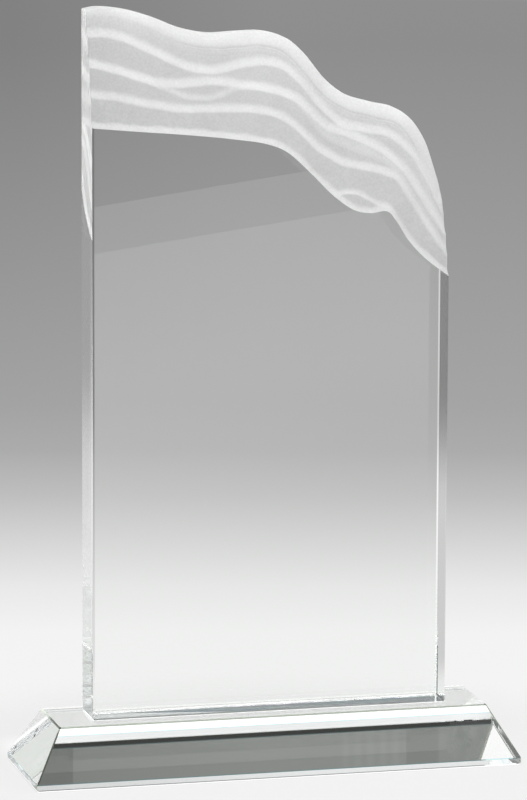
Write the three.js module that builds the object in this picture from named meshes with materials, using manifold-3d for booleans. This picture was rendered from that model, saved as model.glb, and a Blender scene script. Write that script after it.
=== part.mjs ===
// Crystal award: a plate of clear optical crystal, its crest sand-carved into frosted wave
// terraces, bonded upright on a crystal base with sloping sides.
// Millimetres, +Z up. The carved front faces -Y, and the origin is under the middle of the
// base, on the surface that the award stands on. Heights below are above that surface.

import * as THREE from 'three';
import { mergeVertices } from 'three/addons/utils/BufferGeometryUtils.js';
import Module from 'manifold-3d';

const wasm = await Module();
wasm.setup();

// ---- Driving dimensions ----

const BASE_LENGTH = 178;
const BASE_DEPTH = 51.5;
const BASE_HEIGHT = 20.4;
const BASE_LIP = 2.3; // upright band round the foot of the base
const BASE_SLOPE_RUN = 10.4; // how far each side leans in between the lip and the top
const BOND_THICKNESS = 0.2;
const BOND_SETBACK = 0.3; // the cured adhesive stops this far inside the plate's ends
const PLATE_WIDTH = 130;
const PLATE_THICKNESS = 18.2;
const ARRIS = 0.6; // polished chamfer that breaks each edge of the clear crystal

// The crest's top edge, from the left end to where it meets the upright right edge.
const CREST_TOP = [
  [-65, 272.9], [-60, 273.6], [-50, 272.4], [-40, 269.4], [-30, 265.4], [-20, 263.4], [-10, 263.7],
  [0, 263.6], [8, 261.1], [14, 256.1], [22.5, 245.9], [30, 240.4], [40, 237.2], [48, 235.2],
  [54, 230.9], [59, 223.4], [62.4, 213.9], [64.2, 208.1], [65, 205],
];

// The carved waves, from the lowest up. Above each wave the front stands back by its step.
const WAVES = [
  {
    step: 2.5,
    line: [
      [-65, 232.7], [-50, 231.2], [-30, 229.3], [-15, 227.5], [-2, 225.3], [5, 222.4], [14, 214.4],
      [22, 206.4], [30, 200.8], [36, 199.6], [42, 200], [45, 196.9], [50, 189.2], [56, 182.8],
      [65, 175.9],
    ],
  },
  {
    step: 1.9,
    line: [
      [-65, 244.1], [-57, 243.1], [-45, 240.4], [-32, 238.1], [-15, 237.8], [-2, 236.6], [6, 233.4],
      [18, 222.7], [26, 217.8], [40, 214.3], [46, 211.8], [50, 206.4], [58, 193.9], [65, 184.4],
    ],
  },
  {
    step: 3,
    line: [
      [-65, 254.8], [-54, 251.8], [-42, 247.8], [-32, 246.6], [-22, 247.3], [-10, 245.8],
      [0, 244.1], [9, 241.1], [21, 230.4], [28, 227.7], [40, 222.2], [49, 214.9], [57, 203.4],
      [65, 191.4],
    ],
  },
  {
    step: 2.3,
    line: [
      [-65, 265], [-56, 264.3], [-47, 260.9], [-35, 255], [-27, 251.7], [-19, 250.9],
      [-11, 252.4], [-3, 253.5], [4, 252.4], [11, 247.5], [22, 234.9], [28, 230.4], [37, 228.4],
      [45, 226.4], [53, 219.7], [60, 208.9], [65, 198.4],
    ],
  },
];
const LEDGE = 1; // each ledge starts this far below its wave and ends this far above it
// The top edge's front corner is carved off, this far down and this far back.
const CROWN_HEIGHT = 4.2;
const CROWN_DEPTH = 3;

// ---- Solids: boolean cuts, and curves ----

const sum = (numbers) => numbers.reduce((total, number) => total + number, 0);

function solid(geometry) {
  const bare = geometry.clone();
  bare.deleteAttribute('normal');
  bare.deleteAttribute('uv');
  const merged = mergeVertices(bare, 1e-4);
  const vertProperties = Float32Array.from(merged.attributes.position.array);
  const triVerts = Uint32Array.from(merged.index.array);
  return new wasm.Manifold(new wasm.Mesh({ numProp: 3, vertProperties, triVerts }));
}

function geometryOf(manifold) {
  const mesh = manifold.getMesh();
  const geometry = new THREE.BufferGeometry();
  geometry.setAttribute('position', new THREE.BufferAttribute(mesh.vertProperties, 3));
  geometry.setIndex(new THREE.BufferAttribute(mesh.triVerts, 1));
  geometry.computeVertexNormals();
  return geometry;
}

function smoothLine(points, pieces) {
  const knots = points.map(([x, height]) => new THREE.Vector3(x, height, 0));
  const curve = new THREE.CatmullRomCurve3(knots, false, 'centripetal');
  return curve.getSpacedPoints(pieces).map((point) => new THREE.Vector2(point.x, point.y));
}

// ---- The plate ----

const FRONT = -PLATE_THICKNESS / 2;
const FOOT = BASE_HEIGHT + BOND_THICKNESS;
const HALF = PLATE_WIDTH / 2;
const CURVE_PIECES = 56;

function plateBlank() {
  const top = smoothLine(CREST_TOP, CURVE_PIECES).reverse();
  const outline = new THREE.Shape([
    new THREE.Vector2(-HALF, FOOT), new THREE.Vector2(HALF, FOOT), ...top,
  ]);
  const geometry = new THREE.ExtrudeGeometry(outline, {
    depth: PLATE_THICKNESS - 2 * ARRIS,
    bevelThickness: ARRIS,
    bevelSize: ARRIS,
    bevelOffset: -ARRIS,
    bevelSegments: 1,
  });
  geometry.rotateX(Math.PI / 2);
  geometry.translate(0, PLATE_THICKNESS / 2 - ARRIS, 0);
  return solid(geometry);
}

// What is carved away above a line: its floor is `from + step` behind the front, and a sloping
// ledge joins that floor to the level in front, `from` behind the front.
function carving(line, from, step, below, above) {
  const margin = 8; // the cutter reaches this far past the plate on every side
  const left = line[0];
  const right = line[line.length - 1];
  const highest = Math.max(...CREST_TOP.map(([, height]) => height)) + margin;
  const outline = new THREE.Shape([
    new THREE.Vector2(-HALF - margin, left.y), ...line, new THREE.Vector2(HALF + margin, right.y),
    new THREE.Vector2(HALF + margin, highest), new THREE.Vector2(-HALF - margin, highest),
  ]);
  const geometry = new THREE.ExtrudeGeometry(outline, {
    depth: from + margin,
    bevelThickness: step,
    bevelSize: below + above,
    bevelOffset: -above,
    bevelSegments: 1,
  });
  geometry.rotateX(Math.PI / 2);
  geometry.translate(0, FRONT + from, 0);
  return solid(geometry);
}

function crystalPlate() {
  let plate = plateBlank();
  let depth = 0;
  for (const { step, line } of WAVES) {
    plate = plate.subtract(carving(smoothLine(line, CURVE_PIECES), depth, step, LEDGE, LEDGE));
    depth += step;
  }
  // The crown's slope runs on a little past the top edge, so that it leaves no sliver there.
  const crown = smoothLine(CREST_TOP, CURVE_PIECES);
  const past = 0.25;
  plate = plate.subtract(
    carving(crown, depth, CROWN_DEPTH * (1 + past), CROWN_HEIGHT, CROWN_HEIGHT * past),
  );
  return geometryOf(plate);
}

// ---- The base ----

// A rectangle with cut corners, at one height.
function ring({ height, length, depth }) {
  const x = length / 2;
  const y = depth / 2;
  const corners = [
    [x, -y + ARRIS], [x, y - ARRIS], [x - ARRIS, y], [-x + ARRIS, y],
    [-x, y - ARRIS], [-x, -y + ARRIS], [-x + ARRIS, -y], [x - ARRIS, -y],
  ];
  return corners.map(([across, along]) => [across, along, height]);
}

// Rings stacked from the bottom up, joined by flat sides and closed at both ends.
function stacked(sections) {
  const rings = sections.map(ring);
  const count = rings[0].length;
  const triangles = [];
  for (let level = 0; level < rings.length - 1; level += 1) {
    for (let side = 0; side < count; side += 1) {
      const a = level * count + side;
      const b = level * count + ((side + 1) % count);
      triangles.push(a, b, b + count, a, b + count, a + count);
    }
  }
  const topStart = (rings.length - 1) * count;
  for (let side = 1; side < count - 1; side += 1) {
    triangles.push(0, side + 1, side);
    triangles.push(topStart, topStart + side, topStart + side + 1);
  }
  const geometry = new THREE.BufferGeometry();
  geometry.setAttribute('position', new THREE.Float32BufferAttribute(rings.flat(2), 3));
  geometry.setIndex(triangles);
  geometry.computeVertexNormals();
  return geometry;
}

function crystalBase() {
  const grow = BASE_SLOPE_RUN / (BASE_HEIGHT - BASE_LIP); // the slope's run for each mm of fall
  const topLength = BASE_LENGTH - 2 * BASE_SLOPE_RUN;
  const topDepth = BASE_DEPTH - 2 * BASE_SLOPE_RUN;
  const arrisRun = 2 * ARRIS * grow;
  return stacked([
    { height: 0, length: BASE_LENGTH - 2 * ARRIS, depth: BASE_DEPTH - 2 * ARRIS },
    { height: ARRIS, length: BASE_LENGTH, depth: BASE_DEPTH },
    { height: BASE_LIP, length: BASE_LENGTH, depth: BASE_DEPTH },
    { height: BASE_HEIGHT - ARRIS, length: topLength + arrisRun, depth: topDepth + arrisRun },
    { height: BASE_HEIGHT, length: topLength - ARRIS, depth: topDepth - ARRIS },
  ]);
}

// ---- The cured adhesive between the plate's foot and the base ----

function adhesiveBond() {
  const width = PLATE_WIDTH - 2 * BOND_SETBACK;
  const depth = PLATE_THICKNESS - 2 * ARRIS;
  const geometry = new THREE.BoxGeometry(width, depth, BOND_THICKNESS);
  geometry.translate(0, 0, BASE_HEIGHT + BOND_THICKNESS / 2);
  return geometry;
}

// ---- Assembly ----

function piece(name, geometry, look) {
  const mesh = new THREE.Mesh(geometry, new THREE.MeshStandardMaterial(look));
  mesh.name = name;
  return mesh;
}

const crystal = { color: 0xe9eeee, roughness: 0.03, metalness: 0 };
const adhesive = { color: 0xe4ecee, roughness: 0.15, metalness: 0 };

const group = new THREE.Group();
group.add(
  piece('crystal_base', crystalBase(), crystal),
  piece('adhesive_bond', adhesiveBond(), adhesive),
  piece('crystal_plate', crystalPlate(), crystal),
);

export default group;
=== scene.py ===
import math

import bmesh
import bpy
import numpy as np
from mathutils import Matrix, Vector


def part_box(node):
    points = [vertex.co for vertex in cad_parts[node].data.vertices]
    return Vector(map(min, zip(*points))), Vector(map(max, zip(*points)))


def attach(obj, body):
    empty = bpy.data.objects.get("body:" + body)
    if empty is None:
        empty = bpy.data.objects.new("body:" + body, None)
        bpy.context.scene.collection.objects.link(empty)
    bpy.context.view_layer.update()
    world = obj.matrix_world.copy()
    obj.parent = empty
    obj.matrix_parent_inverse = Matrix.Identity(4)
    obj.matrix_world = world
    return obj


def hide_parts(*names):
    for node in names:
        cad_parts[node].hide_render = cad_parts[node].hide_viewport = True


# Crystal award: a clear plate with a frosted, carved crest, bonded on a base with sloping sides.
# Outlines and carving are in millimetres, in the CAD's own frame; MM turns them into metres.

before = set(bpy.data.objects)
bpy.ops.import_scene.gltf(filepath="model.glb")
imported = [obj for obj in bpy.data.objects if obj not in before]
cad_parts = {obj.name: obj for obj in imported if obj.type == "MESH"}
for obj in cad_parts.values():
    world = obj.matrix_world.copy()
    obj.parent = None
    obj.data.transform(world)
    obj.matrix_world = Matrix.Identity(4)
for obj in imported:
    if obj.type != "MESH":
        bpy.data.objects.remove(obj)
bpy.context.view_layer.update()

MM = 0.001
plate_low, plate_high = (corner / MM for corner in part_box("crystal_plate"))
base_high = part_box("crystal_base")[1] / MM
bond_low, bond_high = (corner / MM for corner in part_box("adhesive_bond"))
FRONT, BACK = plate_low.y, plate_high.y
LEFT, RIGHT = plate_low.x, plate_high.x
FOOT = plate_low.z
ARRIS = 0.6  # polished chamfer on the plate's edges
BACK_ARRIS_IN, BACK_ARRIS_DEEP = 0.5, 0.68  # the back's chamfer is a little steeper
BASE_LIP, BASE_RUN = 2.3, 10.4  # upright band round the base's foot, and lean of its sides
BASE_ARRIS, LIP_ARRIS = 0.5, 0.15

# ---- The crest's lines, as in the CAD source ----

CREST_TOP = [
    (-65, 272.9), (-60, 273.6), (-50, 272.4), (-40, 269.4), (-30, 265.4), (-20, 263.4), (-10, 263.7),
    (0, 263.6), (8, 261.1), (14, 256.1), (22.5, 245.9), (30, 240.4), (40, 237.2), (48, 235.2),
    (54, 230.9), (59, 223.4), (62.4, 213.9), (64.2, 208.1), (65, 205),
]
FROST_EDGE = [
    (-65, 232.7), (-50, 231.2), (-30, 229.3), (-15, 227.5), (-2, 225.3), (5, 222.4), (14, 214.4),
    (22, 206.4), (30, 200.8), (36, 199.6), (42, 200), (45, 196.9), (50, 189.2), (56, 182.8),
    (65, 175.9),
]
# The border's ledge splits here and there: part of its step follows this second line instead.
FROST_BRANCH = [
    (-65, 232.7), (-50, 231.2), (-30, 229.3), (-15, 227.5), (-2, 225.3), (5, 222.4), (14, 214.4),
    (20, 208.6), (24, 206.2), (28, 206.6), (32, 205.8), (36, 203.7), (39.5, 201.8), (42.5, 200.9),
    (45, 197.5), (50, 189.2), (56, 182.8), (65, 175.9),
]
WAVE_3 = [
    (-65, 244.1), (-57, 243.1), (-45, 240.4), (-32, 238.1), (-15, 237.8), (-2, 236.6), (6, 233.4),
    (18, 222.7), (26, 217.8), (40, 214.3), (46, 211.8), (50, 206.4), (58, 193.9), (65, 184.4),
]
WAVE_2 = [
    (-65, 254.8), (-54, 251.8), (-42, 247.8), (-32, 246.6), (-22, 247.3), (-10, 245.8), (0, 244.1),
    (9, 241.1), (21, 230.4), (28, 227.7), (40, 222.2), (49, 214.9), (57, 203.4), (65, 191.4),
]
# The second wave splits as well, into a loop that hangs below it on the left.
WAVE_2_BRANCH = [
    (-65, 254.8), (-54, 251.8), (-42, 247.4), (-36.6, 245), (-32, 243), (-27.3, 241.9),
    (-22.6, 241.5), (-18.3, 242.4), (-14, 244.2), (-10, 245.2), (0, 243.9), (9, 240.3),
    (17, 232), (21, 227.6), (28, 224), (36, 221), (42, 218.4), (49, 213.6), (57, 203), (65, 191.4),
]
WAVE_1 = [
    (-65, 265), (-56, 264.3), (-47, 260.9), (-35, 255), (-27, 251.7), (-19, 250.9), (-11, 252.4),
    (-3, 253.5), (4, 252.4), (11, 247.5), (22, 234.9), (28, 230.4), (37, 228.4), (45, 226.4),
    (53, 219.7), (60, 208.9), (65, 198.4),
]
# Border ledges rise straight from the clear front: how far each steps back, how wide, and its line.
BORDERS = [(1.5, 2.6, FROST_EDGE), (1.0, 2.4, FROST_BRANCH)]
# The other ledges roll over: step, width, how much wider it is on the right, and line.
ROLLED = [
    (1.9, 4.0, 0, WAVE_3), (2.2, 4.1, 0, WAVE_2), (0.8, 3.2, 3, WAVE_2_BRANCH), (2.3, 4.2, 0, WAVE_1),
]
CROWN_DEPTH, CROWN_HEIGHT = 3.0, 4.6
CROWN_SET_IN = (-62, -28)  # between these places the crown deepens, from the left
# Tool lines under the crown: distance below the top edge, and depth.
TOOL_LINES = [(5.0, 0.09), (5.9, 0.03), (7.6, 0.025)]
TOOL_LINES_SET_IN = (-40, -24)  # between these places they appear, from the left
TOOL_LINE_WIDTH = 0.3
WIDER_FROM = (5, 22)  # between these places the ledges that are wider on the right widen
WANDER = 0.09  # the carver's hand: how far the cut wanders

LINE_PIECES = 400  # pieces in each line
KNOT_PIECES = 40  # and, while it is worked out, between two of its points
CREST_COLUMNS, CREST_ROWS = 400, 170
TOP_STEPS = 9  # strips across the plate's top edge


def smooth_line(points):
    """Evenly spaced points on a centripetal Catmull-Rom curve, as the CAD's curves are."""
    p = np.array(points, float)
    p = np.vstack([2 * p[0] - p[1], p, 2 * p[-1] - p[-2]])
    fine = []
    for a, b, c, d in zip(p[:-3], p[1:-2], p[2:-1], p[3:]):
        t = np.cumsum([0.0] + [math.dist(*pair) ** 0.5 for pair in ((a, b), (b, c), (c, d))])
        s = np.linspace(t[1], t[2], KNOT_PIECES, endpoint=False)[:, None]
        ab = (t[1] - s) / (t[1] - t[0]) * a + (s - t[0]) / (t[1] - t[0]) * b
        bc = (t[2] - s) / (t[2] - t[1]) * b + (s - t[1]) / (t[2] - t[1]) * c
        cd = (t[3] - s) / (t[3] - t[2]) * c + (s - t[2]) / (t[3] - t[2]) * d
        abc = (t[2] - s) / (t[2] - t[0]) * ab + (s - t[0]) / (t[2] - t[0]) * bc
        bcd = (t[3] - s) / (t[3] - t[1]) * bc + (s - t[1]) / (t[3] - t[1]) * cd
        fine.append((t[2] - s) / (t[2] - t[1]) * abc + (s - t[1]) / (t[2] - t[1]) * bcd)
    fine = np.vstack([*fine, p[-2:-1]])
    along = arc_length(fine)
    return points_along(fine, along, np.linspace(0, along[-1], LINE_PIECES + 1))


def arc_length(line):
    """Distance along a line at each of its points."""
    return np.concatenate([[0], np.cumsum(np.linalg.norm(np.diff(line, axis=0), axis=1))])


def points_along(line, along, where):
    return np.stack([np.interp(where, along, line[:, 0]), np.interp(where, along, line[:, 1])], 1)


def smoothstep(value, low, high):
    t = np.clip((value - low) / (high - low), 0, 1)
    return t * t * (3 - 2 * t)


def height_above(points, line):
    """Signed distance from a line that runs left to right, positive above it."""
    starts, steps = line[:-1], np.diff(line, axis=0)
    lengths = (steps ** 2).sum(1)
    nearest = np.empty(len(points))
    for block in np.array_split(np.arange(len(points)), len(points) // 4000 + 1):
        offset = points[block][:, None, :] - starts[None]
        share = np.clip((offset * steps).sum(2) / lengths, 0, 1)
        gap = offset - share[..., None] * steps
        nearest[block] = np.sqrt((gap ** 2).sum(2).min(1))
    above = points[:, 1] > np.interp(points[:, 0], line[:, 0], line[:, 1])
    return np.where(above, nearest, -nearest)


def border_profile(t):
    """Step from 0 to 1 with a crisp lower edge."""
    return 1 - (1 - np.clip(t, 0, 1)) ** 2.2


def ledge_profile(t):
    """Soft step from 0 to 1, steepest at a third of the way up."""
    t = np.clip(t, 0, 1)
    return 6 * t ** 2 - 8 * t ** 3 + 3 * t ** 4


def carved_depth(points):
    """How far behind the plate's front the carved crest lies at each (x, height)."""
    x, height = points[:, 0], points[:, 1]
    wander = WANDER * np.sin(0.61 * x + 1) * np.sin(0.23 * x + 0.4 * height)
    depth = np.zeros(len(points))
    for step, width, line in BORDERS:
        above = height_above(points, smooth_line(line))
        depth += step * border_profile(above / (width * (1 + 2 * wander)))
    for step, width, extra, line in ROLLED:
        broad = width + extra * smoothstep(x, *WIDER_FROM)
        above = height_above(points, smooth_line(line)) + 1.5 * wander
        depth += step * ledge_profile(above / broad + 1 / 3)
    below_top = -height_above(points, smooth_line(CREST_TOP))
    strength = 0.2 + 0.8 * smoothstep(x, *CROWN_SET_IN)
    crown = np.clip(1 - below_top / (CROWN_HEIGHT * (0.5 + 0.5 * strength)), 0, 1)
    depth += CROWN_DEPTH * strength * crown ** 1.7
    shown = smoothstep(x, *TOOL_LINES_SET_IN)
    for distance, deep in TOOL_LINES:
        off_line = below_top - distance - 2 * wander
        depth += shown * deep * np.exp(-(off_line / TOOL_LINE_WIDTH) ** 2)
    return depth


# ---- Mesh building ----

class Solid:
    """Collects welded points and faces, each face with its material slot and shading."""

    def __init__(self):
        self.index, self.points, self.faces = {}, [], []

    def point(self, x, y, z):
        key = (round(x, 4), round(y, 4), round(z, 4))
        if key not in self.index:
            self.index[key] = len(self.points)
            self.points.append((x * MM, y * MM, z * MM))
        return self.index[key]

    def face(self, corners, slot=0, smooth=False):
        ring = [self.point(*corner) for corner in corners]
        ring = [p for i, p in enumerate(ring) if p != ring[i - 1]]
        if len(set(ring)) > 2:
            self.faces.append((ring, slot, smooth))

    def band(self, lower, upper, slots, smooth=False):
        """Faces that join two closed rings, each with its slot."""
        for k, slot in enumerate(slots):
            after = (k + 1) % len(lower)
            self.face([lower[k], lower[after], upper[after], upper[k]], slot, smooth)

    def build(self, name, materials):
        mesh = bpy.data.meshes.new(name)
        mesh.from_pydata(self.points, [], [ring for ring, _, _ in self.faces])
        mesh.polygons.foreach_set("material_index", [slot for _, slot, _ in self.faces])
        mesh.polygons.foreach_set("use_smooth", [smooth for _, _, smooth in self.faces])
        for material in materials:
            mesh.materials.append(material)
        work = bmesh.new()
        work.from_mesh(mesh)
        bmesh.ops.recalc_face_normals(work, faces=work.faces)
        work.to_mesh(mesh)
        work.free()
        piece = bpy.data.objects.new(name, mesh)
        bpy.context.scene.collection.objects.link(piece)
        return piece


# ---- The plate ----

CLEAR, FROSTED, BONDED, SATIN = range(4)
NEAR_EDGE = (0.15, 0.35, ARRIS)  # extra columns this far from each upright edge
KNEE, BACK_KNEE = FOOT + ARRIS, FOOT + BACK_ARRIS_IN


def crest_columns(line):
    """Where the crest's columns meet a line: evenly, and closer together at the upright edges."""
    along = arc_length(line)
    places = [LEFT + d for d in NEAR_EDGE] + [RIGHT - d for d in reversed(NEAR_EDGE)]
    near = np.interp(places, line[:, 0], along)
    inner = np.linspace(near[2], near[3], CREST_COLUMNS)
    return points_along(line, along, np.concatenate([[0], near[:2], inner, near[4:], [along[-1]]]))


def crest_surface(low, high):
    """The carved crest as a grid of points, from the frost's lower edge up to the top edge."""
    share = np.linspace(0, 1, CREST_ROWS + 1)
    share = share + 0.06 * np.sin(math.pi * share)  # rows crowd towards the crown
    grid = low[:, None, :] * (1 - share)[None, :, None] + high[:, None, :] * share[None, :, None]
    flat = grid.reshape(-1, 2)
    depth = carved_depth(flat)
    # the carving rounds the arris off a little more, and its lowest row meets the clear front
    arris = np.clip(ARRIS - np.minimum(flat[:, 0] - LEFT, RIGHT - flat[:, 0]), 0, None)
    rounded = 0.25 * (arris / ARRIS) ** 2 * smoothstep(depth, 0, 2)
    depth = (np.maximum(depth, arris) + rounded).reshape(grid.shape[:2])
    depth[:, 0] = arris.reshape(grid.shape[:2])[:, 0]
    return np.stack([grid[..., 0], FRONT + depth, grid[..., 1]], 2)


def top_surface(crest_lip):
    """Points across the top edge, from the crown's front lip to the back's arris."""
    share = np.linspace(0, 1, TOP_STEPS + 1)[None, :]
    depth = crest_lip[:, 1:2] * (1 - share) + (BACK - BACK_ARRIS_DEEP) * share
    across, height = (np.repeat(crest_lip[:, k:k + 1], TOP_STEPS + 1, 1) for k in (0, 2))
    return np.stack([across, depth, height], 2)


def back_lip(high):
    """The back's outline under the top edge, inside its arris."""
    tangent = np.gradient(high, axis=0)
    normal = np.stack([-tangent[:, 1], tangent[:, 0]], 1)
    normal /= np.linalg.norm(normal, axis=1)[:, None]
    lip = high - normal * BACK_ARRIS_IN
    lip[:, 0] = np.clip(lip[:, 0], LEFT + BACK_ARRIS_IN, RIGHT - BACK_ARRIS_IN)
    return [(x, BACK, z) for x, z in lip]


def quad_faces(solid, grid, slot):
    for first, second in zip(grid, grid[1:]):
        for j in range(len(first) - 1):
            solid.face([first[j], second[j], second[j + 1], first[j + 1]], slot, True)


def clear_front(solid, crest):
    """The polished front below the frost, with the foot's front arris."""
    drops = [(x, y, KNEE) for x, y, _ in crest[:, 0]]
    for i in range(len(drops) - 1):
        solid.face([crest[i, 0], drops[i], drops[i + 1], crest[i + 1, 0]], CLEAR)
    first, last = len(NEAR_EDGE) - 1, len(drops) - len(NEAR_EDGE)
    front_foot = [(drops[i][0], FRONT + ARRIS, FOOT) for i in range(first, last + 1)]
    for i, (a, b) in enumerate(zip(front_foot, front_foot[1:])):
        solid.face([drops[first + i], drops[first + i + 1], b, a], CLEAR)
    solid.face([*drops[:first + 1], front_foot[0]], CLEAR)
    solid.face([*drops[last:], front_foot[-1]], CLEAR)
    return front_foot


def build_plate(materials):
    low, high = crest_columns(smooth_line(FROST_EDGE)), crest_columns(smooth_line(CREST_TOP))
    crest = crest_surface(low, high)
    top = top_surface(crest[:, -1])
    lip = back_lip(high)
    solid = Solid()
    quad_faces(solid, crest, FROSTED)
    quad_faces(solid, top, FROSTED)
    for i in range(len(lip) - 1):
        solid.face([top[i, -1], top[i + 1, -1], lip[i + 1], lip[i]], FROSTED)
    front_foot = clear_front(solid, crest)

    behind = BACK - BACK_ARRIS_DEEP
    in_left, in_right = LEFT + BACK_ARRIS_IN, RIGHT - BACK_ARRIS_IN
    solid.face([(in_left, BACK, BACK_KNEE), *lip, (in_right, BACK, BACK_KNEE)], CLEAR)
    for x, inner, end, foot in ((LEFT, in_left, 0, front_foot[0]), (RIGHT, in_right, -1, front_foot[-1])):
        ahead, low_back = (x, FRONT + ARRIS, KNEE), (inner, BACK, BACK_KNEE)
        # beside the carving the side is slightly satin, which softens what it shows
        satin_foot = (x, behind, crest[end, 0, 2])
        solid.face([satin_foot, (x, behind, KNEE), low_back, lip[end], top[end, -1]], CLEAR)
        solid.face([(x, behind, KNEE), ahead, crest[end, 0], satin_foot], CLEAR)
        solid.face([satin_foot, *crest[end], *top[end, 1:]], SATIN)
        solid.face([ahead, (x, behind, KNEE), (inner, behind, FOOT), foot], CLEAR)
        solid.face([(x, behind, KNEE), low_back, (inner, behind, FOOT)], CLEAR)
    back_foot = [(in_right, behind, FOOT), (in_left, behind, FOOT)]
    solid.face([(in_left, BACK, BACK_KNEE), (in_right, BACK, BACK_KNEE), *back_foot], CLEAR)
    solid.face([*front_foot, *back_foot], BONDED)
    return solid.build("plate_crystal", materials)


# ---- The base and the bond ----

def cut_ring(z, half_x, half_y, cut):
    """A rectangle with cut corners, starting on its right side."""
    return [
        (half_x, -half_y + cut, z), (half_x, half_y - cut, z), (half_x - cut, half_y, z),
        (-half_x + cut, half_y, z), (-half_x, half_y - cut, z), (-half_x, -half_y + cut, z),
        (-half_x + cut, -half_y, z), (half_x - cut, -half_y, z),
    ]


def build_base(materials):
    faces, edge, bonded, lip, painted_sheen_arris = range(5)
    half_x, half_y, height = base_high.x, base_high.y, base_high.z
    top_x, top_y = half_x - BASE_RUN, half_y - BASE_RUN
    grow = BASE_RUN / (height - BASE_LIP)
    levels = (
        (0, half_x - BASE_ARRIS, half_y - BASE_ARRIS),
        (BASE_ARRIS, half_x, half_y),
        (BASE_LIP - LIP_ARRIS, half_x, half_y),
        (BASE_LIP + LIP_ARRIS, half_x - LIP_ARRIS * grow, half_y - LIP_ARRIS * grow),
        (height - BASE_ARRIS, top_x + BASE_ARRIS * grow, top_y + BASE_ARRIS * grow),
        (height, top_x - BASE_ARRIS / 2, top_y - BASE_ARRIS / 2),
    )
    rings = [cut_ring(*level, BASE_ARRIS) for level in levels]
    solid = Solid()
    # the arris where the lip meets the sloping sides gets a painted teal sheen
    for lower, upper, slot in zip(rings, rings[1:], (lip, lip, painted_sheen_arris, faces, edge)):
        solid.band(lower, upper, [slot, edge] * 4)  # every second side is a cut corner
    solid.face(rings[0][::-1], faces)
    # the bonded area in the middle of the top, and the clear top round it
    x, y = bond_high.x, bond_high.y
    print_ring = [(x, -y, height), (x, y, height), (-x, y, height), (-x, -y, height)]
    solid.face(print_ring, bonded)
    top = rings[-1]
    for k in range(4):
        after = (k + 1) % 4
        solid.face([top[2 * k], top[2 * k + 1], print_ring[after], print_ring[k]], faces)
        solid.face([top[2 * k + 1], top[(2 * k + 2) % 8], print_ring[after]], faces)
    return solid.build("base_crystal", materials)


def build_bond(materials):
    """A thin film with rounded corners, bulging a little at half its height."""
    corner, corner_pieces, bulge = 0.8, 6, 0.1  # corner radius, faces round it, swell
    x, y = bond_high.x - corner, bond_high.y - corner
    low, high = bond_low.z, bond_high.z

    def ring(z, radius):
        points = []
        for quarter, (cx, cy) in enumerate(((x, -y), (x, y), (-x, y), (-x, -y))):
            for piece in range(corner_pieces + 1):
                angle = (quarter - 1 + piece / corner_pieces) * math.pi / 2
                points.append((cx + radius * math.cos(angle), cy + radius * math.sin(angle), z))
        return points

    rings = [ring(low, corner - bulge), ring((low + high) / 2, corner), ring(high, corner - bulge)]
    solid = Solid()
    for lower, upper in zip(rings, rings[1:]):
        solid.band(lower, upper, [0] * len(lower), True)
    solid.face(rings[0][::-1])
    solid.face(rings[-1])
    return solid.build("bond_film", materials)


# ---- Node graphs ----

class Graph:
    """Adds nodes to a tree; an input is a plain value or another node's output."""

    def __init__(self, tree):
        self.nodes, self.links = tree.nodes, tree.links

    def feed(self, socket, value):
        if isinstance(value, bpy.types.NodeSocket):
            self.links.new(value, socket)
        else:
            socket.default_value = value

    def add(self, kind, *values, **settings):
        node = self.nodes.new(kind)
        for name, value in settings.items():
            setattr(node, name, value)
        for socket, value in zip(node.inputs, values):
            self.feed(socket, value)
        return node.outputs[0]

    def math(self, operation, *values):
        return self.add("ShaderNodeMath", *values, operation=operation)

    def rise(self, value, low, high, bottom=0.0, top=1.0, soft=True):
        """From bottom to top while value goes from low to high, and level outside that."""
        kind = "SMOOTHSTEP" if soft else "LINEAR"
        return self.add("ShaderNodeMapRange", value, low, high, bottom, top, interpolation_type=kind)

    def blend(self, share, first, second):
        """Number between first, at share 0, and second, at share 1."""
        node = self.nodes.new("ShaderNodeMix")
        number_inputs = node.inputs[0], node.inputs[2], node.inputs[3]
        for socket, value in zip(number_inputs, (share, first, second)):
            self.feed(socket, value)
        return node.outputs[0]

    def ramp(self, value, stops):
        """Colour or grey along a ramp, from (place, grey or colour) stops."""
        node = self.nodes.new("ShaderNodeValToRGB")
        elements = node.color_ramp.elements
        while len(elements) < len(stops):
            elements.new(0.5)
        for element, (place, colour) in zip(elements, stops):
            element.position = place
            element.color = (*(colour if isinstance(colour, tuple) else [colour] * 3), 1)
        self.feed(node.inputs[0], value)
        return node.outputs[0]


# ---- Materials ----

CRYSTAL_IOR = 1.517
BOND_IOR = 1.02  # crystal against adhesive: the foot mirrors at grazing angles
JOINED_IOR = 1.008  # the adhesive against the base


def new_material(name):
    material = bpy.data.materials.new(name)
    material.use_nodes = True
    graph = Graph(material.node_tree)
    return material, graph, graph.nodes["Principled BSDF"]


def set_glass(principled, colour, ior, roughness=0.0):
    principled.inputs["Base Color"].default_value = (*colour, 1)
    principled.inputs["Roughness"].default_value = roughness
    principled.inputs["IOR"].default_value = ior
    principled.inputs["Transmission Weight"].default_value = 1.0


def surface(graph, shader):
    graph.feed(graph.nodes["Material Output"].inputs["Surface"], shader)


def plain_crystal(name, colour, ior=CRYSTAL_IOR, roughness=0.0):
    material, _, principled = new_material(name)
    set_glass(principled, colour, ior, roughness)
    return material


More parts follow.
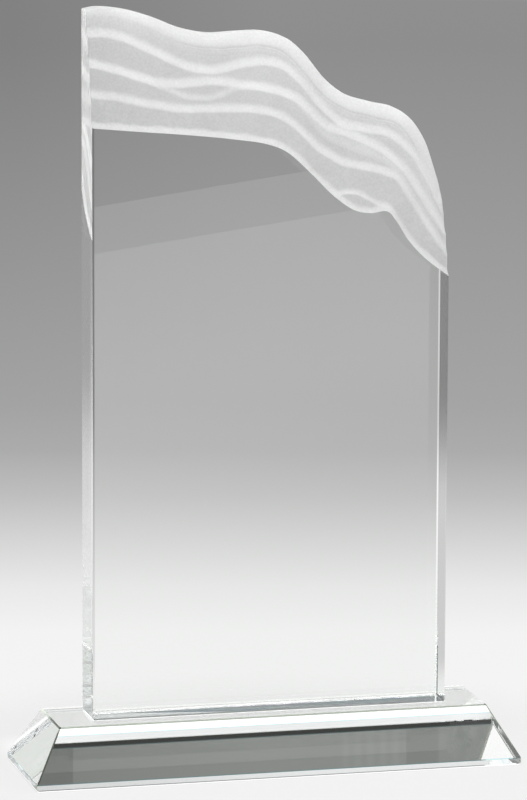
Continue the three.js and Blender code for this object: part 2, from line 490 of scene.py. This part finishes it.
def foot_crystal():
    """The plate's foot, seen through the crystal: mirror-like at a grazing angle, with a faint
    play of blue and teal where the adhesive lets some light through."""
    material, graph, principled = new_material("foot_crystal")
    set_glass(principled, (0.98, 0.99, 1.0), BOND_IOR)
    principled.inputs["Specular Tint"].default_value = (0.78, 0.86, 1.0, 1)
    place = graph.nodes.new("ShaderNodeTexCoord").outputs["Object"]
    streaks = graph.nodes.new("ShaderNodeMapping")
    streaks.inputs["Scale"].default_value = (1, 7, 1)
    graph.feed(streaks.inputs["Vector"], place)
    play = graph.nodes.new("ShaderNodeTexNoise")
    graph.feed(play.inputs["Vector"], streaks.outputs[0])
    play.inputs["Scale"].default_value = 30
    tint = graph.ramp(play.outputs[0], [
        (0.36, (0.35, 0.45, 0.95)), (0.45, (0.45, 0.8, 0.85)), (0.53, (0.6, 0.65, 0.65)),
        (0.6, (0.5, 0.6, 0.9)), (0.68, (0.6, 0.55, 0.8)),
    ])
    grain = graph.nodes.new("ShaderNodeTexNoise")
    graph.feed(grain.inputs["Vector"], place)
    grain.inputs["Scale"].default_value = 1800
    share = graph.rise(grain.outputs[0], 0.3, 0.7, 0.02, 0.22)
    through = graph.add("ShaderNodeBsdfTransparent", tint)
    surface(graph, graph.add("ShaderNodeMixShader", share, principled.outputs[0], through))
    return material


def frosted_crystal():
    """Sand-carved crystal: scatters light both ways, with a fine grain and faint mottling."""
    material, graph, principled = new_material("frosted_crystal")
    set_glass(principled, (0.95, 0.96, 0.97), CRYSTAL_IOR, 0.6)
    place = graph.nodes.new("ShaderNodeTexCoord").outputs["Object"]
    grain, mottle = graph.nodes.new("ShaderNodeTexNoise"), graph.nodes.new("ShaderNodeTexNoise")
    for noise, scale, detail in ((grain, 1300, 2), (mottle, 90, 3)):
        graph.feed(noise.inputs["Vector"], place)
        noise.inputs["Scale"].default_value = scale
        noise.inputs["Detail"].default_value = detail
    speckle = graph.rise(grain.outputs[0], 0.3, 0.7, -0.055, 0.055, soft=False)
    cloud = graph.rise(mottle.outputs[0], 0.3, 0.7, -0.03, 0.03, soft=False)
    split = graph.nodes.new("ShaderNodeSeparateXYZ")
    graph.feed(split.inputs[0], place)
    # it is a little greyer towards the left end
    plain = graph.rise(split.outputs[0], -0.068, -0.045, 0.84, 0.9)
    white = graph.math("ADD", graph.math("ADD", speckle, cloud), plain)
    diffuse = graph.add("ShaderNodeBsdfDiffuse", white)
    through = graph.add("ShaderNodeBsdfTranslucent", white)
    scatter = graph.add("ShaderNodeMixShader", 0.68, diffuse, through)
    bump = graph.nodes.new("ShaderNodeBump")
    bump.inputs["Strength"].default_value = 0.15
    bump.inputs["Distance"].default_value = 0.00004
    graph.feed(bump.inputs["Height"], grain.outputs[0])
    for node in (diffuse.node, principled):
        graph.feed(node.inputs["Normal"], bump.outputs[0])
    surface(graph, graph.add("ShaderNodeMixShader", 0.8, principled.outputs[0], scatter))
    return material


def adhesive():
    """Cured adhesive: a nearly invisible film."""
    material, graph, principled = new_material("cured_adhesive")
    principled.inputs["Base Color"].default_value = (0.85, 0.9, 0.93, 1)
    principled.inputs["Roughness"].default_value = 0.15
    clear = graph.add("ShaderNodeBsdfTransparent")
    surface(graph, graph.add("ShaderNodeMixShader", 0.03, clear, principled.outputs[0]))
    return material


plate = build_plate([
    plain_crystal("clear_crystal", (0.978, 0.99, 0.978)),
    frosted_crystal(),
    foot_crystal(),
    plain_crystal("satin_crystal", (0.99, 1.0, 0.99), roughness=0.22),
])
# the crystal's green tint shows in the base's arrises; where its lip meets its sides a teal sheen is
# painted
base = build_base([
    plain_crystal("base_crystal", (0.98, 0.99, 0.98)),
    plain_crystal("edge_crystal", (0.66, 0.78, 0.58), roughness=0.25),
    plain_crystal("joined_crystal", (0.98, 0.99, 0.98), JOINED_IOR),
    plain_crystal("lip_crystal", (0.965, 0.985, 1.0)),
    plain_crystal("lip_arris_crystal", (0.35, 0.78, 0.85)),
])
bond = build_bond([adhesive()])
for piece, node, slot in (
    (plate, "crystal_plate", "optical_crystal"),
    (base, "crystal_base", "optical_crystal"),
    (bond, "adhesive_bond", "uv_adhesive"),
):
    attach(piece, "root")
    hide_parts(node)


# ---- Studio: surroundings, floor and light ----

def linear(value):
    """Linear brightness of an 8-bit display grey."""
    s = value / 255
    return s / 12.92 if s <= 0.04045 else ((s + 0.055) / 1.055) ** 2.4


def sine(degrees):
    return math.sin(math.radians(degrees))


# Each part of the studio sweeps smoothly between two elevations in degrees, the first two numbers,
# from a lower to an upper display grey, the last two.
BACKDROP_SWEEP = (-12.7, -10.4, 244, 165)
LEFT_WING_SWEEP = (-11.4, -10.1, 203, 118)  # the dim studio far to the left
LEFT_CARD_SWEEP = (-11.0, -9.8, 240, 169)  # a white card to the left, between them
SIDE_CARD_SWEEP = (-11.2, -10.4, 248, 205)  # tall white cards to both sides
SWEEP_PIECES = 6
SIDE_CARD_TOP = [(0, 208), (6, 258)]  # above its sweep: elevations, each with its grey
# Above its sweep the backdrop is a grey wall with a bright strip across it and a dark band high up.
WALL = [
    (-6.3, 139), (-5.6, 230), (-1.5, 230), (-0.5, 140), (14, 138), (18, 130), (25, 46), (60, 46),
    (67, 205), (90, 215),
]

# Places without degrees are parts of a direction: x, y, and z, which is the sine of the elevation.
SIDE_CARD_ASIDE, SIDE_CARD_END = (0.8, 0.88), (0.62, 0.5)  # x where they start, z where they end
ROOM_START = (0.25, -0.25)  # y where the backdrop gives way to the room in front
ROOM_HEIGHT, ROOM_LIGHT = (-0.22, -0.14), (0.85, 0.35)  # the room grows dimmer upwards
# A white card in front: heights near its foot and its top, each with the card's brightness.
FRONT_CARD_LOW, FRONT_CARD_HIGH = (-0.212, 0.75), (-0.168, 1.58)
FRONT_CARD_MIDDLE, FRONT_CARD_TILT = 0.24, 0.175  # it is to the right, and its edges climb
FRONT_CARD_SIDES = (0.14, 0.1)  # it fades in between these distances from its middle
FRONT_CARD_FOLD, FRONT_CARD_TOP = -0.1494, -0.1413  # a greyer strip lies between these heights

BACKDROP_AHEAD = 14.4  # compass direction, from +Y towards +X, of the backdrop's middle
# Places across the backdrop are sines of the angle from its middle.
LEFT_CARD_START, LEFT_CARD_EDGE = (-0.1, -0.3), -0.475  # the left card fades in, and then ends
# The wall is darker on the left, over these places across and above these elevations, and on the
# far right, where the share that it loses grows between these heights.
LEFT_DARK_ACROSS, LEFT_DARK_ABOVE, LEFT_DARK_SHARE = (-0.045, 0.0), (-10.9, -6.3), 0.19
RIGHT_DARK_ACROSS = (0.15, 0.35)
RIGHT_DARK_HEIGHT, RIGHT_DARK_SHARE = (-0.191, -0.178), (0.22, 0.5)
# Upright marks on the wall: a dim stretch on the left, then slats, then a post.
MARKS_LEFT, SLATS_LEFT, SLATS_RIGHT, MARKS_RIGHT = -0.0338, 0.0135, 0.0246, 0.0303
MARKS_FOOT, MARKS_TOP = (13.48, 13.52), (22, 20)  # elevations over which the marks come and go
DIM_SHADE, SLAT_SHADE, SLAT_CONTRAST, POST_SHADE = 0.74, 1.05, 0.045, 0.86
SLAT_PACE = 2830.0  # radians of the slats' wave for each unit across

SMALL_CARD_EDGE = 12.64  # compass direction of a small card's right edge
SMALL_CARD_ENDS = ((11.5, 12), (13.37, 13.35))  # elevations over which it comes and goes
SMALL_CARD_SIDE = (0.14, 0.12)  # sines of the angles from that edge over which it fades out
SMALL_CARD_LIGHT = 0.85
GREEN_FROM = (9, 13)  # above these elevations the light is a little green
GREEN = (0.96, 1.0, 0.95)


def sine_ramp(graph, height, stops, low, high):
    """Linear greys over elevation, from display greys; low and high are the ramp's ends."""
    low, high = sine(low), sine(high)
    share = graph.rise(height, low, high, soft=False)
    return graph.ramp(share, [((sine(e) - low) / (high - low), linear(grey)) for e, grey in stops])


def sweep_stops(low, high, lower_grey, upper_grey):
    """Elevations and greys of a smooth sweep."""
    places = np.linspace(low, high, SWEEP_PIECES + 1)
    return [(e, lower_grey + (upper_grey - lower_grey) * smoothstep(e, low, high)) for e in places]


def backdrop(graph, x, y, z):
    """Everything behind the award."""
    middle = math.radians(BACKDROP_AHEAD)
    across = graph.math("MULTIPLY", x, math.cos(middle))
    across = graph.math("MULTIPLY_ADD", y, -math.sin(middle), across)
    wall = sine_ramp(graph, z, [*sweep_stops(*BACKDROP_SWEEP), *WALL], -90, 90)
    upper = graph.rise(z, *map(sine, LEFT_DARK_ABOVE), soft=False)
    left = graph.rise(across, *LEFT_DARK_ACROSS, LEFT_DARK_SHARE, 0.0, soft=False)
    right = graph.rise(across, *RIGHT_DARK_ACROSS)
    right_share = graph.rise(z, *RIGHT_DARK_HEIGHT, *RIGHT_DARK_SHARE)
    for side, share in ((left, upper), (right, right_share)):
        dark = graph.math("MULTIPLY", side, share)
        wall = graph.math("MULTIPLY", wall, graph.math("SUBTRACT", 1.0, dark))
    wall = graph.math("MULTIPLY", wall, studio_marks(graph, across, z))
    # a white card to the left, and the dim studio past its edge
    card = sine_ramp(graph, z, sweep_stops(*LEFT_CARD_SWEEP), -15, -6)
    wing = sine_ramp(graph, z, sweep_stops(*LEFT_WING_SWEEP), -15, -6)
    wing = graph.blend(graph.math("LESS_THAN", across, LEFT_CARD_EDGE), card, wing)
    return graph.blend(graph.rise(across, *LEFT_CARD_START), wall, wing)


def studio_marks(graph, across, z):
    """Faint upright marks high on the backdrop, which the base's long side shows."""
    shade = graph.blend(graph.math("GREATER_THAN", across, MARKS_LEFT), DIM_SHADE, 1.0)
    slats = graph.math("SINE", graph.math("MULTIPLY", across, SLAT_PACE))
    slats = graph.math("MULTIPLY_ADD", slats, SLAT_CONTRAST, SLAT_SHADE)
    for low, high, value in ((SLATS_LEFT, SLATS_RIGHT, slats), (SLATS_RIGHT, MARKS_RIGHT, POST_SHADE)):
        inside = graph.math("GREATER_THAN", across, low)
        inside = graph.math("MULTIPLY", inside, graph.math("LESS_THAN", across, high))
        shade = graph.blend(inside, shade, value)
    band = graph.rise(z, *map(sine, MARKS_FOOT))
    band = graph.math("MULTIPLY", band, graph.rise(z, *map(sine, MARKS_TOP)))
    return graph.blend(band, 1.0, shade)


def foreground(graph, x, z):
    """Everything in front of the award, which its front mirrors."""
    room = graph.rise(z, *ROOM_HEIGHT, *ROOM_LIGHT)
    from_middle = graph.math("SUBTRACT", x, FRONT_CARD_MIDDLE)
    height = graph.math("MULTIPLY_ADD", from_middle, -FRONT_CARD_TILT, z)
    (low, dim), (high, bright) = FRONT_CARD_LOW, FRONT_CARD_HIGH
    card = graph.rise(height, low, high, dim, bright)
    card = graph.blend(graph.math("GREATER_THAN", height, FRONT_CARD_FOLD), card, 1.0)
    inside = graph.rise(graph.math("ABSOLUTE", from_middle), *FRONT_CARD_SIDES)
    shown = graph.math("MULTIPLY", inside, graph.math("LESS_THAN", height, FRONT_CARD_TOP))
    return graph.blend(shown, room, card)


def build_world():
    world = bpy.data.worlds.new("studio")
    bpy.context.scene.world = world
    world.use_nodes = True
    graph = Graph(world.node_tree)
    place = graph.nodes.new("ShaderNodeTexCoord").outputs["Generated"]
    split = graph.nodes.new("ShaderNodeSeparateXYZ")
    graph.feed(split.inputs[0], place)
    x, y, z = split.outputs

    ahead = graph.rise(y, *ROOM_START)
    light = graph.blend(ahead, backdrop(graph, x, y, z), foreground(graph, x, z))
    # a small white card on the left, which the plate's side shows near its foot
    edge = math.radians(SMALL_CARD_EDGE)
    left_of = graph.math("MULTIPLY_ADD", x, -math.cos(edge), graph.math("MULTIPLY", y, math.sin(edge)))
    small = graph.math("GREATER_THAN", left_of, 0.0)
    small = graph.math("MULTIPLY", small, graph.rise(left_of, *SMALL_CARD_SIDE))
    for ends in SMALL_CARD_ENDS:
        small = graph.math("MULTIPLY", small, graph.rise(z, *map(sine, ends)))
    light = graph.blend(small, light, SMALL_CARD_LIGHT)
    # tall white cards to both sides
    aside = graph.rise(graph.math("ABSOLUTE", x), *SIDE_CARD_ASIDE)
    aside = graph.math("MULTIPLY", aside, graph.rise(z, *SIDE_CARD_END))
    side_card = sine_ramp(graph, z, [*sweep_stops(*SIDE_CARD_SWEEP), *SIDE_CARD_TOP], -15, 15)
    light = graph.blend(aside, light, side_card)
    tint = graph.ramp(graph.rise(z, *map(sine, GREEN_FROM), soft=False), [(0, 1.0), (1, GREEN)])
    light = graph.add("ShaderNodeVectorMath", light, tint, operation="MULTIPLY")
    graph.feed(graph.nodes["Background"].inputs["Color"], light)


FLOOR_RADIUS, FLOOR_DROP = 1.2, 0.0002  # the floor lies a little below the base's foot
FLOOR_FADE = (0.105, 0.16)  # beyond these distances the floor gives way to the backdrop
GLOW, GLOW_BEHIND, GLOW_UNDER = 0.76, 0.88, 1.33
BEHIND_SIDES, BEHIND_END = (0.092, 0.08), (0.065, 0.04)  # where the glow behind the base fades out
GLOW_INSET = 0.5  # the glow under the base stops this far inside its foot, in millimetres


def build_floor():
    """White floor that glows, more so under the base and behind it.

    Cycles can't trace light down through the crystal, which would leave the floor dark there.
    """
    bpy.ops.mesh.primitive_circle_add(vertices=96, radius=FLOOR_RADIUS, fill_type="NGON")
    floor = bpy.context.object
    floor.location.z = -FLOOR_DROP
    floor.name = "floor"
    material, graph, principled = new_material("floor_white")
    principled.inputs["Base Color"].default_value = (0.08, 0.08, 0.08, 1)
    principled.inputs["Roughness"].default_value = 0.7
    principled.inputs["Specular IOR Level"].default_value = 0.1
    principled.inputs["Emission Color"].default_value = (1, 1, 1, 1)
    place = graph.nodes.new("ShaderNodeTexCoord").outputs["Object"]
    split = graph.nodes.new("ShaderNodeSeparateXYZ")
    graph.feed(split.inputs[0], place)
    x, y, _ = split.outputs
    beside = graph.math("ABSOLUTE", x)
    behind = graph.rise(beside, *BEHIND_SIDES)
    behind = graph.math("MULTIPLY", behind, graph.math("GREATER_THAN", y, 0.0))
    behind = graph.math("MULTIPLY", behind, graph.rise(y, *BEHIND_END))
    glow = graph.blend(behind, GLOW, GLOW_BEHIND)
    under = graph.math("LESS_THAN", beside, (base_high.x - GLOW_INSET) * MM)
    near = graph.math("LESS_THAN", graph.math("ABSOLUTE", y), (base_high.y - GLOW_INSET) * MM)
    glow = graph.blend(graph.math("MULTIPLY", under, near), glow, GLOW_UNDER)
    graph.feed(principled.inputs["Emission Strength"], glow)
    # it fades out, so that what lies beyond it is the backdrop
    distance = graph.nodes.new("ShaderNodeVectorMath")
    distance.operation = "LENGTH"
    graph.feed(distance.inputs[0], place)
    fade = graph.rise(distance.outputs["Value"], *FLOOR_FADE)
    air = graph.add("ShaderNodeBsdfTransparent")
    surface(graph, graph.add("ShaderNodeMixShader", fade, principled.outputs[0], air))
    floor.data.materials.append(material)


def area_light(name, place, aim, width, depth, power):
    """A soft light that the crystal neither mirrors nor shows."""
    data = bpy.data.lights.new(name, "AREA")
    data.shape = "RECTANGLE"
    data.size, data.size_y, data.energy = width, depth, power
    light = bpy.data.objects.new(name, data)
    light.location = place
    light.rotation_euler = (Vector(aim) - Vector(place)).to_track_quat("-Z", "Y").to_euler()
    light.visible_camera = light.visible_glossy = light.visible_transmission = False
    bpy.context.scene.collection.objects.link(light)


build_world()
build_floor()
area_light("overhead", (-0.12, -0.45, 1.4), (0, 0, 0.2), 1.0, 0.7, 24)
area_light("right_box", (1.0, -0.35, 0.95), (0, 0, 0.2), 0.7, 0.5, 8)


# ---- Camera ----

def build_camera():
    yaw, pitch, roll = math.radians(14.36), math.radians(10.3), math.radians(0.226)
    distance = 2.026
    aim = Vector((-0.72, 0, 132.25)) * MM
    level = Vector((math.sin(yaw), math.cos(yaw), 0))
    forward = level * math.cos(pitch) - Vector((0, 0, math.sin(pitch)))
    right = Vector((math.cos(yaw), -math.sin(yaw), 0))
    up = right.cross(forward)
    tilted_right = math.cos(roll) * right + math.sin(roll) * up
    tilted_up = math.cos(roll) * up - math.sin(roll) * right
    turn = Matrix((tilted_right, tilted_up, -forward)).transposed()
    data = bpy.data.cameras.new("camera")
    data.lens = 256
    data.clip_end = 100
    camera = bpy.data.objects.new("camera", data)
    camera.matrix_world = Matrix.Translation(aim - forward * distance) @ turn.to_4x4()
    bpy.context.scene.collection.objects.link(camera)
    bpy.context.scene.camera = camera


build_camera()
# Crystal needs deep light paths, and the white floor has to stay white.
scene = bpy.context.scene
scene.view_settings.view_transform = "Standard"
scene.cycles.max_bounces = 32
scene.cycles.glossy_bounces = 24
scene.cycles.transmission_bounces = 32
